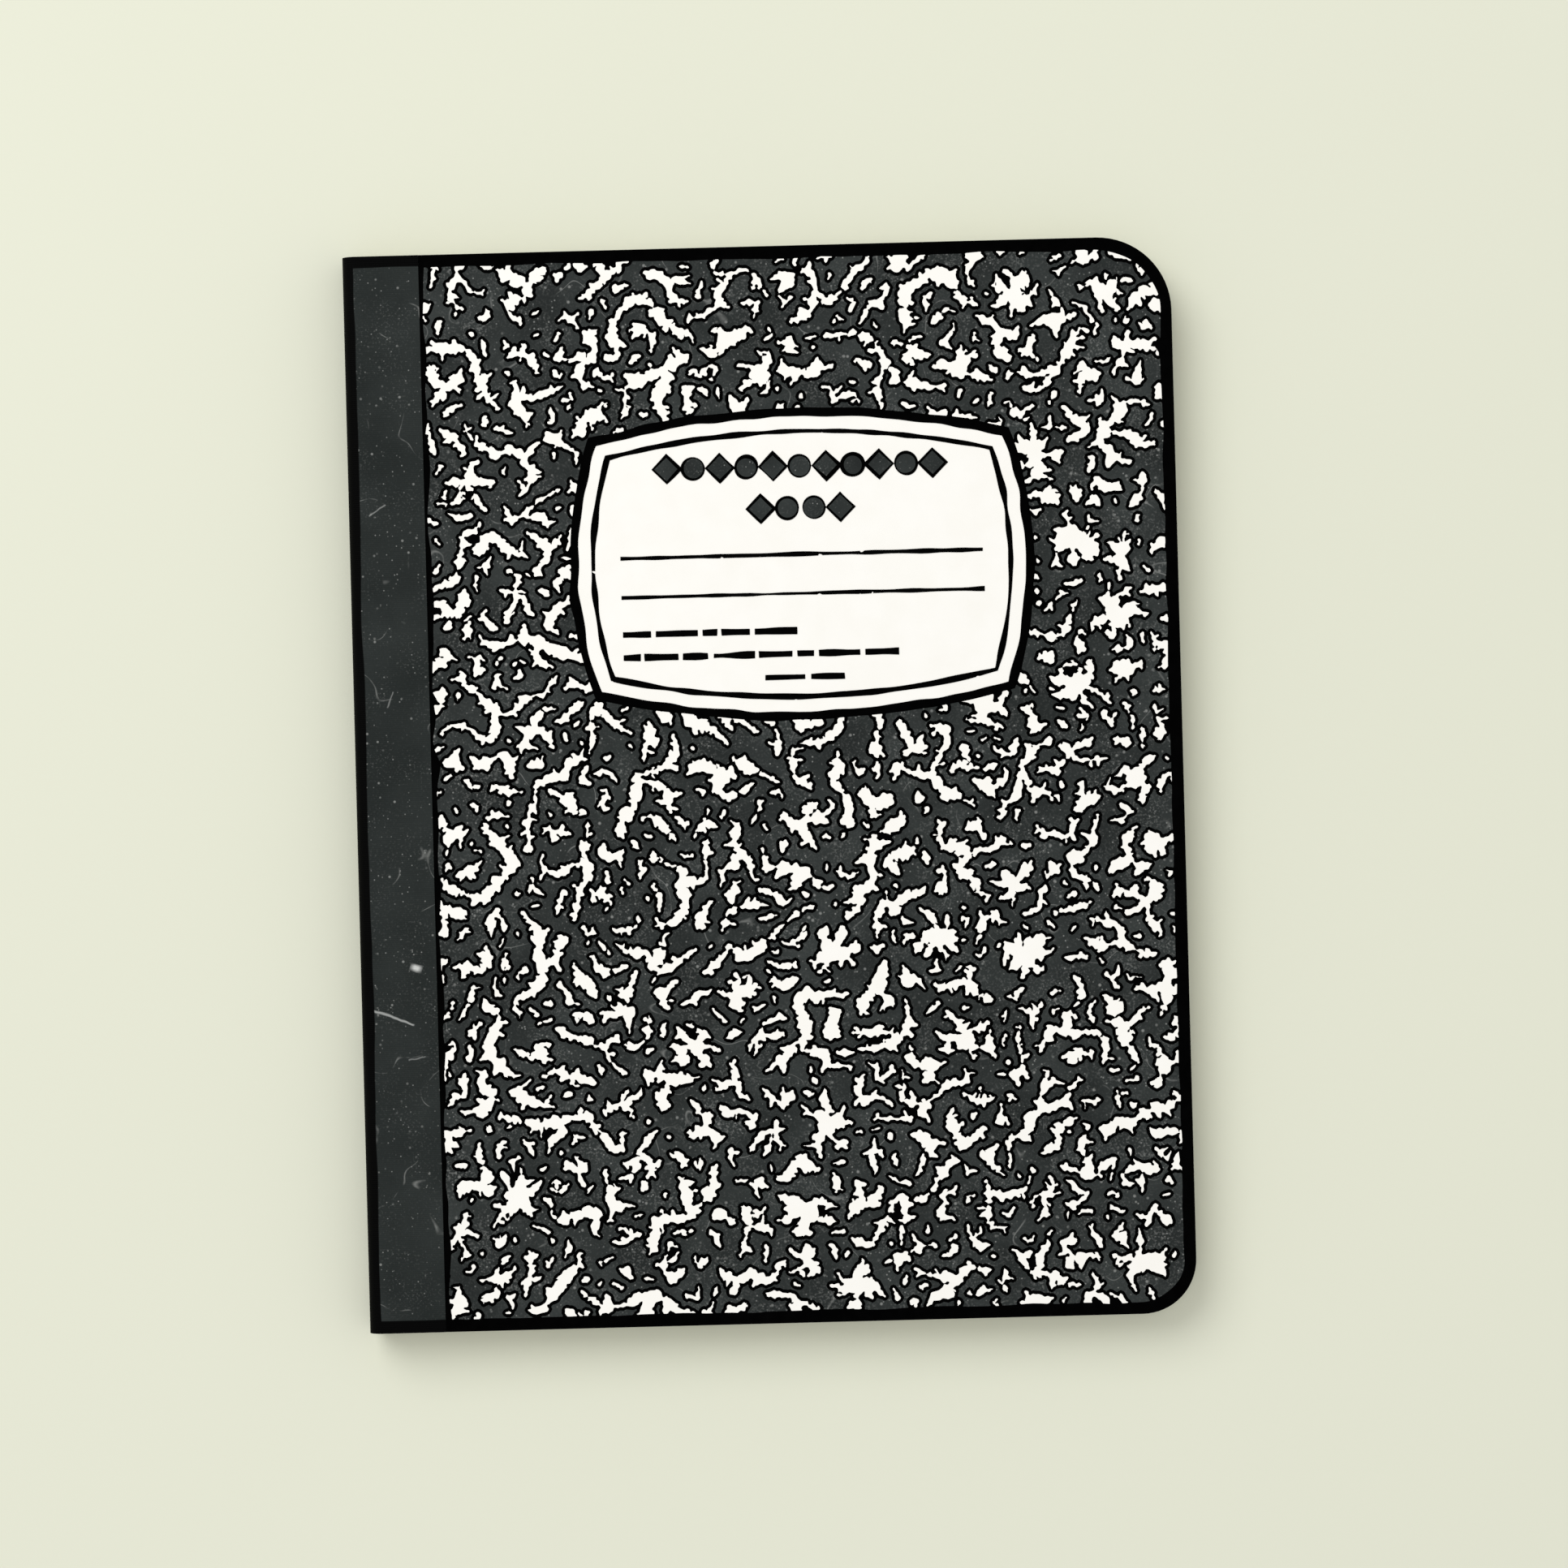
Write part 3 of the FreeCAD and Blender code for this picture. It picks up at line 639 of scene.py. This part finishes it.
# Marks on the tape's front: start, end, width and strength
TAPE_MARKS = (
    ((-92 * MM, -49.3 * MM), (-83 * MM, -52.7 * MM), 0.38 * MM, 0.55),
    ((-82.4 * MM, -39.6 * MM), (-81.6 * MM, -39.9 * MM), 1.1 * MM, 1.0),
    ((-90 * MM, 64 * MM), (-86.5 * MM, 66.5 * MM), 0.25 * MM, 0.3),
    ((-84.2 * MM, -61.0 * MM), (-80.5 * MM, -60.2 * MM), 0.2 * MM, 0.25),
    ((-87.0 * MM, 20.0 * MM), (-85.8 * MM, 23.5 * MM), 0.2 * MM, 0.25),
)


def rgb(red, green, blue):
    return (red, green, blue, 1.0)


CHARCOAL = rgb(0.0172, 0.0205, 0.0195)
WORN_CHARCOAL = rgb(0.0255, 0.0298, 0.0285)
INK = rgb(0.015, 0.0178, 0.017)
WORN_INK = rgb(0.031, 0.036, 0.0345)
SCUFFED = rgb(0.19, 0.195, 0.185)
BARED = rgb(0.52, 0.53, 0.51)
BLACK = rgb(0.0005, 0.0005, 0.0005)
WORN_BLACK = rgb(0.001, 0.001, 0.001)
WHITE = rgb(0.885, 0.868, 0.822)
TONED_WHITE = rgb(0.865, 0.845, 0.79)
LINING = rgb(0.76, 0.745, 0.69)
TONED_LINING = rgb(0.72, 0.7, 0.635)
BOARD_CORE = rgb(0.2, 0.19, 0.165)
PALE_CORE = rgb(0.36, 0.345, 0.3)
LEAF = rgb(0.82, 0.805, 0.745)
TONED_LEAF = rgb(0.785, 0.765, 0.695)
LEAF_EDGE = rgb(0.8, 0.78, 0.71)
TONED_LEAF_EDGE = rgb(0.62, 0.595, 0.52)
ROW_BLUE = rgb(0.2, 0.36, 0.62)
MARGIN_RED = rgb(0.72, 0.16, 0.18)
THREAD_SHADE = rgb(0.6, 0.58, 0.5)
THREAD_WHITE = rgb(0.86, 0.84, 0.77)
FLOOR_GREEN = rgb(0.70, 0.71, 0.585)
PALE_FLOOR = rgb(0.715, 0.725, 0.6)


class Paint:
    """A material, with short calls that add its nodes and give their outputs."""

    def __init__(self, name, roughness, specular=0.1, rest=False):
        self.material = bpy.data.materials.new(name)
        self.material.use_nodes = True
        self.tree = self.material.node_tree
        self.shader = self.tree.nodes["Principled BSDF"]
        self.shader.inputs["Roughness"].default_value = roughness
        self.shader.inputs["Specular IOR Level"].default_value = specular
        if rest:
            node = self.tree.nodes.new("ShaderNodeAttribute")
            node.attribute_name = REST
            self.place = node.outputs["Vector"]
        else:
            self.place = self.tree.nodes.new("ShaderNodeTexCoord").outputs["Object"]

    def set(self, socket, value):
        if isinstance(value, bpy.types.NodeSocket):
            self.tree.links.new(value, socket)
        elif value is not None:
            socket.default_value = value

    def stretched(self, x=1.0, y=1.0, z=1.0, turn=0.0):
        """The place, with its axes scaled and turned."""
        node = self.tree.nodes.new("ShaderNodeMapping")
        self.set(node.inputs["Vector"], self.place)
        node.inputs["Rotation"].default_value = (0, 0, turn)
        node.inputs["Scale"].default_value = (x, y, z)
        return node.outputs["Vector"]

    def noise(self, size, detail=2.0, place=None):
        node = self.tree.nodes.new("ShaderNodeTexNoise")
        self.set(node.inputs["Vector"], place or self.place)
        node.inputs["Scale"].default_value = 1 / size
        node.inputs["Detail"].default_value = detail
        return node.outputs["Fac"]

    def cells(self, size):
        node = self.tree.nodes.new("ShaderNodeTexVoronoi")
        self.set(node.inputs["Vector"], self.place)
        node.inputs["Scale"].default_value = 1 / size
        return node.outputs["Distance"]

    def waves(self, size, direction, place=None):
        """Bands across one axis, one every size."""
        node = self.tree.nodes.new("ShaderNodeTexWave")
        self.set(node.inputs["Vector"], place or self.place)
        node.bands_direction = direction
        node.inputs["Scale"].default_value = math.pi / 10 / size  # unscaled, a band comes every pi / 10
        return node.outputs["Fac"]

    def axis(self, name):
        node = self.tree.nodes.new("ShaderNodeSeparateXYZ")
        self.set(node.inputs["Vector"], self.place)
        return node.outputs[name]

    def facing(self, name):
        node = self.tree.nodes.new("ShaderNodeSeparateXYZ")
        self.set(node.inputs["Vector"], self.tree.nodes.new("ShaderNodeTexCoord").outputs["Normal"])
        return node.outputs[name]

    def math(self, operation, a, b=None):
        node = self.tree.nodes.new("ShaderNodeMath")
        node.operation = operation
        self.set(node.inputs[0], a)
        self.set(node.inputs[1], b)
        return node.outputs[0]

    def step(self, value, start, end, low=0.0, high=1.0):
        """Low before start, high after end, and even between them."""
        node = self.tree.nodes.new("ShaderNodeMapRange")
        self.set(node.inputs["Value"], value)
        for socket, number in zip(("From Min", "From Max", "To Min", "To Max"), (start, end, low, high)):
            self.set(node.inputs[socket], number)
        return node.outputs["Result"]

    def mix(self, share, a, b):
        node = self.tree.nodes.new("ShaderNodeMix")
        node.data_type = "RGBA"
        self.set(node.inputs[0], share)
        self.set(node.inputs[6], a)
        self.set(node.inputs[7], b)
        return node.outputs[2]

    def patches(self, size, detail, start, end, low=0.0, high=1.0):
        """Noise of one size, low before start, high after end, and even between them."""
        return self.step(self.noise(size, detail), start, end, low, high)

    def mark(self, start, end, width):
        """A scratch from one place to another, seen from above."""
        run = Vector(end) - Vector(start)
        way = run.normalized()
        x = self.math("SUBTRACT", self.axis("X"), start[0])
        y = self.math("SUBTRACT", self.axis("Y"), start[1])
        along = self.math("ADD", self.math("MULTIPLY", x, way.x), self.math("MULTIPLY", y, way.y))
        across = self.math("SUBTRACT", self.math("MULTIPLY", x, way.y), self.math("MULTIPLY", y, way.x))
        bend = self.patches(6 * MM, 2.0, 0.3, 0.7, -0.5 * MM, 0.5 * MM)
        beside = self.math("ABSOLUTE", self.math("ADD", across, bend))
        past = self.math("ABSOLUTE", self.math("SUBTRACT", along, run.length / 2))
        inside = self.step(past, run.length / 2 + width, run.length / 2)
        return self.math("MULTIPLY", inside, self.step(beside, width, 0.3 * width))

    def thread_lines(self, size, width):
        """Hairlines: where noise crosses its middle."""
        from_middle = self.math("SUBTRACT", self.noise(size, 1.0), 0.5)
        return self.step(self.math("ABSOLUTE", from_middle), width, 0.0)

    def mottled(self, size, a, b):
        """Soft patches of two tones."""
        return self.mix(self.patches(size, 5.0, 0.35, 0.75), a, b)

    def level(self, start=0.5, end=0.8):
        """One on level faces, and none on upright ones."""
        return self.step(self.math("ABSOLUTE", self.facing("Z")), start, end)

    def colour(self, value):
        self.set(self.shader.inputs["Base Color"], value)

    def bump(self, height, depth):
        node = self.tree.nodes.new("ShaderNodeBump")
        node.inputs["Distance"].default_value = depth
        self.set(node.inputs["Height"], height)
        self.set(self.shader.inputs["Normal"], node.outputs["Normal"])


def worn_dark(paint, dark, light, dust):
    """A dark tone with soft clouds, dust, light specks and scratches."""
    ground = paint.mix(paint.patches(14 * MM, 4.0, 0.35, 0.7), dark, light)
    grain = paint.patches(0.5 * MM, 2.0, 0.6 - 0.1 * dust, 0.8)
    dusty = paint.patches(9 * MM, 4.0, 0.45, 0.75, 0.12 * dust, dust)
    ground = paint.mix(paint.math("MULTIPLY", grain, dusty), ground, SCUFFED)
    for size, rarity in ((1.2 * MM, 0.5 - 0.08 * dust), (2.2 * MM, 0.54 - 0.08 * dust)):
        speck = paint.step(paint.cells(size), 0.13 + 0.08 * dust, 0.08)
        sparse = paint.patches(2.5 * size, 2.0, rarity, rarity + 0.12)
        ground = paint.mix(paint.math("MULTIPLY", speck, sparse), ground, SCUFFED)
    scratch = paint.thread_lines(13 * MM, 0.007)
    short = paint.patches(7 * MM, 3.0, 0.61 - 0.1 * dust, 0.66, 0.0, 0.75)
    return paint.mix(paint.math("MULTIPLY", scratch, short), ground, SCUFFED)


def printed_ground():
    paint = Paint("printed_ground", 0.55, 0.08)
    paint.colour(worn_dark(paint, INK, WORN_INK, 1.0))
    paint.bump(paint.noise(0.5 * MM, 3.0), 0.02 * MM)
    return paint.material


def printed_black(name):
    paint = Paint(name, 0.6, 0.005)
    paint.colour(paint.mix(paint.patches(2.5 * MM, 4.0, 0.4, 0.75), BLACK, WORN_BLACK))
    paint.bump(paint.noise(0.4 * MM, 3.0), 0.01 * MM)
    return paint.material


def bare_white():
    paint = Paint("bare_white", 0.75, 0.1)
    paint.colour(paint.mottled(6 * MM, WHITE, TONED_WHITE))
    paint.bump(paint.noise(0.3 * MM, 4.0), 0.015 * MM)
    return paint.material


def label_paper():
    """White paper whose upright cut edge is black: painted shade round the label, running on from its
    border.
    """
    paint = Paint("label_paper", 0.75, 0.1)
    level = paint.level()
    # Painted shade: black on upright faces, and the paper's tones on level faces.
    paint.colour(paint.mix(level, BLACK, paint.mottled(6 * MM, WHITE, TONED_WHITE)))
    paint.bump(paint.noise(0.3 * MM, 4.0), 0.015 * MM)
    return paint.material


def tape_cloth():
    """Book cloth: a fine weave under a worn dark coat, with a black band of painted shade along its rounded
    fold and at its ends.
    """
    paint = Paint("tape_cloth", 0.62, 0.03, rest=True)
    ground = worn_dark(paint, CHARCOAL, WORN_CHARCOAL, 0.5)
    x, y, z = (paint.axis(name) for name in "XYZ")
    on_front = paint.step(z, TOP_Z / 2, TOP_Z / 2 + MM)
    for start, end, width, strength in TAPE_MARKS:
        mark = paint.math("MULTIPLY", paint.mark(start, end, width), strength)
        ground = paint.mix(paint.math("MULTIPLY", mark, on_front), ground, BARED)
    sway = paint.patches(30 * MM, 2.0, 0.3, 0.7, -0.35 * MM, 0.35 * MM)
    # Painted shade: black in a band at the head and tail, and on the rounded shoulder near the fold.
    from_end = paint.math("SUBTRACT", HEAD_Y, paint.math("ABSOLUTE", y))
    shade_start, shade_end = EDGE_SHADE + 0.1 * MM, EDGE_SHADE - 0.1 * MM
    near_end = paint.step(paint.math("ADD", from_end, sway), shade_start, shade_end)
    from_fold = paint.math("ADD", paint.math("SUBTRACT", x, SPINE_X), sway)
    near_fold = paint.step(from_fold, shade_start, shade_end)
    from_middle = paint.math("ABSOLUTE", paint.math("SUBTRACT", z, TOP_Z / 2))
    curve_start = TOP_Z / 2 - SPINE_RADIUS
    shoulder = paint.step(from_middle, curve_start, curve_start + 0.2 * MM)
    painted_shade = paint.math("MAXIMUM", near_end, paint.math("MULTIPLY", near_fold, shoulder))
    paint.colour(paint.mix(painted_shade, ground, BLACK))
    warp = paint.waves(WEAVE_PITCH, "Y")
    weft = paint.math("MAXIMUM", paint.waves(WEAVE_PITCH, "X"), paint.waves(WEAVE_PITCH, "Z"))
    paint.bump(paint.math("ADD", warp, weft), 0.03 * MM)
    return paint.material


def lined_board():
    """White lining on the faces, grey layered board on the edges."""
    paint = Paint("lined_board", 0.8, 0.1)
    lining = paint.mottled(9 * MM, LINING, TONED_LINING)
    layers = paint.noise(0.25 * MM, 4.0, paint.stretched(0.05, 0.05, 1.0))
    core = paint.mix(paint.step(layers, 0.3, 0.7), BOARD_CORE, PALE_CORE)
    paint.colour(paint.mix(paint.level(), core, lining))
    paint.bump(paint.noise(0.35 * MM, 4.0), 0.03 * MM)
    return paint.material


def ruled_paper():
    """Writing paper: blue lines and a red margin on the faces, and toned leaves at the edges."""
    paint = Paint("ruled_paper", 0.85, 0.08)
    sheet = paint.mottled(8 * MM, LEAF, TONED_LEAF)
    x, y = paint.axis("X"), paint.axis("Y")
    first_row, last_row = HEAD_Y - HEADER, TAIL_Y + FOOTER
    row = paint.math("PINGPONG", paint.math("SUBTRACT", first_row, y), RULE_PITCH / 2)
    on_row = paint.step(row, ROW_LINE + LINE_BLUR, ROW_LINE)
    below_header = paint.step(y, first_row + 0.3 * MM, first_row + 0.2 * MM)
    above_footer = paint.step(y, last_row, last_row + LINE_BLUR)
    on_row = paint.math("MULTIPLY", paint.math("MULTIPLY", on_row, below_header), above_footer)
    to_margin = paint.math("ABSOLUTE", paint.math("SUBTRACT", x, SPINE_X + MARGIN))
    on_margin = paint.step(to_margin, MARGIN_LINE + LINE_BLUR, MARGIN_LINE)
    ink_wear = paint.patches(1.2 * MM, 3.0, 0.3, 0.6, 0.55, 0.9)
    face = paint.mix(paint.math("MULTIPLY", on_row, ink_wear), sheet, ROW_BLUE)
    face = paint.mix(paint.math("MULTIPLY", on_margin, ink_wear), face, MARGIN_RED)
    stain = paint.noise(0.5 * MM, 4.0, paint.stretched(0.06, 0.06, 1.0))
    edge = paint.mix(paint.step(stain, 0.3, 0.75), LEAF_EDGE, TONED_LEAF_EDGE)
    paint.colour(paint.mix(paint.level(0.98, 0.995), edge, face))
    paint.bump(paint.noise(0.3 * MM, 4.0), 0.012 * MM)
    return paint.material


def twisted_thread():
    paint = Paint("twisted_thread", 0.8, 0.15)
    twist = paint.waves(0.5 * MM, "Y", paint.stretched(1.0, 1.0, 1.0, 0.6))
    paint.colour(paint.mix(twist, THREAD_SHADE, THREAD_WHITE))
    paint.bump(twist, 0.06 * MM)
    return paint.material


def ornament_ink():
    paint = Paint("ornament_ink", 0.55, 0.08)
    paint.colour(worn_dark(paint, INK, WORN_INK, 0.5))
    return paint.material


# Pieces


def keep_rest(mesh):
    """Store each point's place, so that the cloth's pattern stays put when the piece bends."""
    places = np.empty(3 * len(mesh.vertices), np.float32)
    mesh.vertices.foreach_get("co", places)
    mesh.attributes.new(REST, "FLOAT_VECTOR", "POINT").data.foreach_set("vector", places)


def tape_path(depth):
    """From the tape's edge on the front cover to the middle of the spine, at a depth in the tape."""
    cover_points, hinge_points, curve_points, spine_points = TAPE_POINTS
    over_cover = np.linspace(TAPE_EDGE_X, HINGE_X + HINGE_BEND, cover_points)[:-1]
    over_hinge = np.linspace(HINGE_X + HINGE_BEND, HINGE_X, hinge_points)
    path = [(x, TOP_Z - depth) for x in (*over_cover, *over_hinge)]
    low = TOP_Z - SPINE_RADIUS
    path += corner_arc((HINGE_X, low), SPINE_RADIUS - depth, math.pi / 2, math.pi, curve_points)[1:]
    return path + [(SPINE_X + depth, z) for z in np.linspace(low, TOP_Z / 2, spine_points)[1:]]


def make_tape(name, front, material):
    """Half of the tape, from the middle of the spine to its edge on one cover."""
    section = tape_path(0) + tape_path(TAPE_THICKNESS)[::-1]
    if not front:
        section = [(x, TOP_Z - z) for x, z in section][::-1]
    count = len(section)
    half = count // 2
    rows = np.linspace(TAIL_Y, HEAD_Y, TAPE_ROWS)
    points = [(x, y, z) for y in rows for x, z in section]
    faces = ring_walls(count, len(rows))
    last = (len(rows) - 1) * count
    for i in range(half - 1):
        ring = (i, count - 1 - i, count - 2 - i, i + 1)
        faces.append(ring[::-1])
        faces.append(tuple(last + corner for corner in ring))
    tape = new_piece(name, points, faces, material, None, "spine_tape")
    smooth_curves(tape)
    keep_rest(tape.data)
    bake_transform(tape)


def smooth_curves(piece, angle=math.radians(35)):
    """Smooth shading that keeps the edges sharper than an angle."""
    mesh = piece.data
    mesh.polygons.foreach_set("use_smooth", [True] * len(mesh.polygons))
    mesh.set_sharp_from_angle(angle=angle)


def make_pages(material):
    """A hundred leaves, each a little out of line with the next."""
    chance = np.random.default_rng(PAGES_SEED)
    pitch = (BLOCK_HIGH.z - BLOCK_LOW.z) / LEAVES
    rings = []
    for leaf in range(LEAVES):
        shift = np.abs(chance.normal(0, LEAF_SPREAD)) + LEAF_SHIFT
        low = BLOCK_LOW.z + leaf * pitch
        for share, inset in ((0.0, LEAF_GROOVE), (0.25, 0.0), (0.75, 0.0)):
            rings.append((low + share * pitch, shift + inset))
    rings.append((BLOCK_HIGH.z, LEAF_GROOVE))
    middle_z = (BLOCK_LOW.z + BLOCK_HIGH.z) / 2
    points = []
    for z, inset in rings:
        from_face = min(z - BLOCK_LOW.z, BLOCK_HIGH.z - z)
        back = BLOCK_LOW.x
        if from_face < PAPER_BEND:
            back += PAPER_BEND - math.sqrt(max(PAPER_BEND ** 2 - (PAPER_BEND - from_face) ** 2, 0))
        to_middle = abs(z - middle_z)
        if to_middle < THREAD_ROOM:
            back += THREAD_RADIUS + math.sqrt(THREAD_ROOM ** 2 - to_middle ** 2)
        points += [(x, y, z) for x, y in leaf_outline(back, inset)]
    count = len(leaf_outline(0))
    faces = ring_walls(count, len(rings))
    last = (len(rings) - 1) * count
    faces.append(tuple(range(count))[::-1])
    faces.append(tuple(range(last, last + count)))
    new_piece("pages", points, faces, material, "text_block", "page_block")


def print_cover(side, up, seed, ground, black, white):
    """The marbled print on one cover: a dark sheet, black lines and bare shapes. The black lines are printed
    rims, with painted shade along the edges, the tape and the label.
    """
    node, body = f"{side}_ink", f"{side}_cover"
    low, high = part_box(node)
    points, faces = closed_slab(leaf_outline(TAPE_EDGE_X), low.z, high.z)
    new_piece(f"{side}_ground", points, faces, ground, body, node)
    bare, lines, x, y = marbled_fields(node, seed)
    face = high.z if up else low.z
    step = SHEET_STEP if up else -SHEET_STEP
    rim_and_shade_shapes = flat_shapes(lines, x, y)
    flat_sheet(f"{side}_lines", rim_and_shade_shapes, face + step, up, black, body)
    bare_shapes = flat_shapes(bare, x, y, 0.5 * LEAST_SHAPE)
    flat_sheet(f"{side}_blotches", bare_shapes, face + 2 * step, up, white, body)


def dress_nodes():
    """Better materials for the nodes that stay."""
    board = lined_board()
    looks = {
        "front_cover": board,
        "back_cover": board,
        "sewing_thread": twisted_thread(),
        "label": label_paper(),
        "label_ornament": ornament_ink(),
    }
    for name, material in looks.items():
        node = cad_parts[name]
        for slot in node.material_slots:
            slot.material = material


# Floor, lights and camera


def make_floor():
    paint = Paint("floor", 0.9, 0.05)
    paint.colour(paint.mix(paint.patches(0.5, 3.0, 0.3, 0.7), FLOOR_GREEN, PALE_FLOOR))
    half = FLOOR_SIZE / 2
    corners = [(x, y, FLOOR_Z) for x, y in ((-half, -half), (half, -half), (half, half), (-half, half))]
    floor = new_piece("floor", corners, [(0, 1, 2, 3)], paint.material, None)


def make_light(name, place, size, watts):
    light = bpy.data.lights.new(name, "AREA")
    light.shape = "DISK"
    light.size = size
    light.energy = watts
    lamp = bpy.data.objects.new(name, light)
    lamp.location = place
    lamp.rotation_euler = (-Vector(place)).to_track_quat("-Z", "Y").to_euler()
    bpy.context.scene.collection.objects.link(lamp)


def make_camera():
    camera = bpy.data.cameras.new("camera")
    camera.lens = LENS
    camera.sensor_width = SENSOR
    seen = bpy.data.objects.new("camera", camera)
    right = Vector((math.cos(VIEW_TURN), math.sin(VIEW_TURN), 0))
    up = Vector((-math.sin(VIEW_TURN), math.cos(VIEW_TURN), 0))
    seen.location = MIDDLE_RIGHT * right + MIDDLE_UP * up + Vector((0, 0, INK_HIGH.z + CAMERA_HEIGHT))
    seen.rotation_euler = (0, 0, VIEW_TURN)
    bpy.context.scene.collection.objects.link(seen)
    bpy.context.scene.camera = seen


def make_world(strength):
    world = bpy.data.worlds.new("studio")
    world.use_nodes = True
    sky = world.node_tree.nodes["Background"]
    sky.inputs["Color"].default_value = rgb(1.0, 1.0, 1.0)
    sky.inputs["Strength"].default_value = strength
    bpy.context.scene.world = world


ground = printed_ground()
black = printed_black("printed_black")
white = bare_white()
cloth = tape_cloth()
dress_nodes()
make_pages(ruled_paper())
make_tape("tape_front", True, cloth)
make_tape("tape_back", False, cloth)
print_label(printed_black("label_black"))
print_cover("front", True, FRONT_SEED, ground, black, white)
print_cover("back", False, BACK_SEED, ground, black, white)

make_floor()
make_light("key", KEY_PLACE, KEY_SIZE, KEY_WATTS)
make_world(SKY_STRENGTH)
make_camera()
bpy.context.scene.view_settings.view_transform = "Standard"
